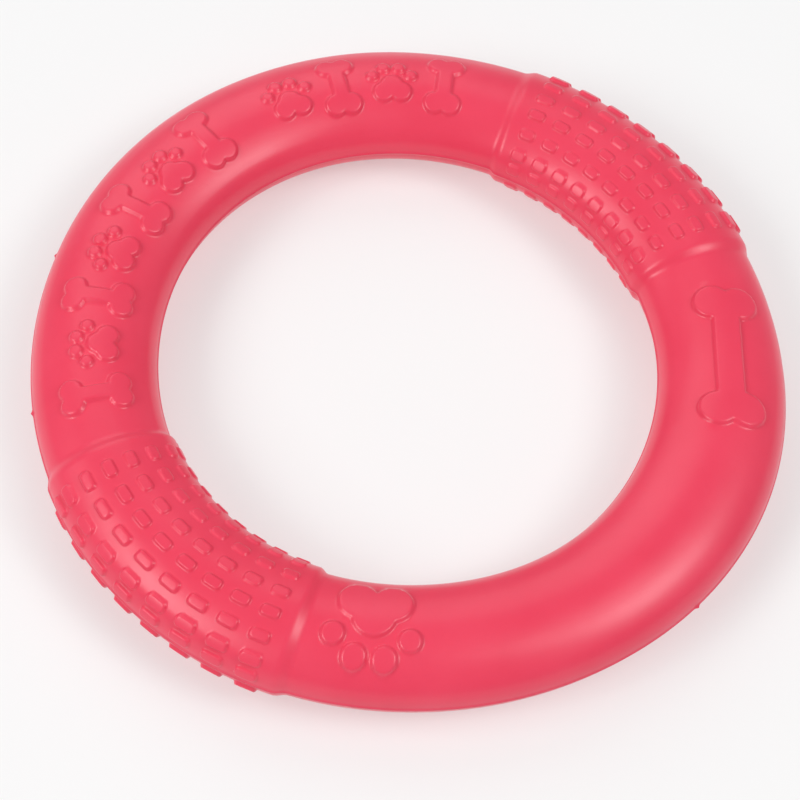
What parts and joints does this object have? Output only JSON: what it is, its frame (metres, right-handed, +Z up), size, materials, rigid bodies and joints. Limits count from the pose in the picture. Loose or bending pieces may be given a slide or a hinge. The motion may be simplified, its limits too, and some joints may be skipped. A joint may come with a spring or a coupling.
{
  "type": "flying ring",
  "caption": "Soft foam flying ring with an oval tube, raised block grips on opposite sides and raised bone and paw motifs, made as an upper and a lower moulded half.",
  "frame": {"origin": "centre of the ring, at the height of the surface it lies on", "axes": "+Z up through the middle of the hole, X through the middles of the two grip patches, +Y towards the long row of motifs"},
  "size_m": [0.1824, 0.18, 0.0242],
  "materials": {
    "foam": "moulded EVA foam skin, satin, rose red"
  },
  "bodies": {
    "root": {"upper_half": "foam", "lower_half": "foam"}
  },
  "joints": []
}
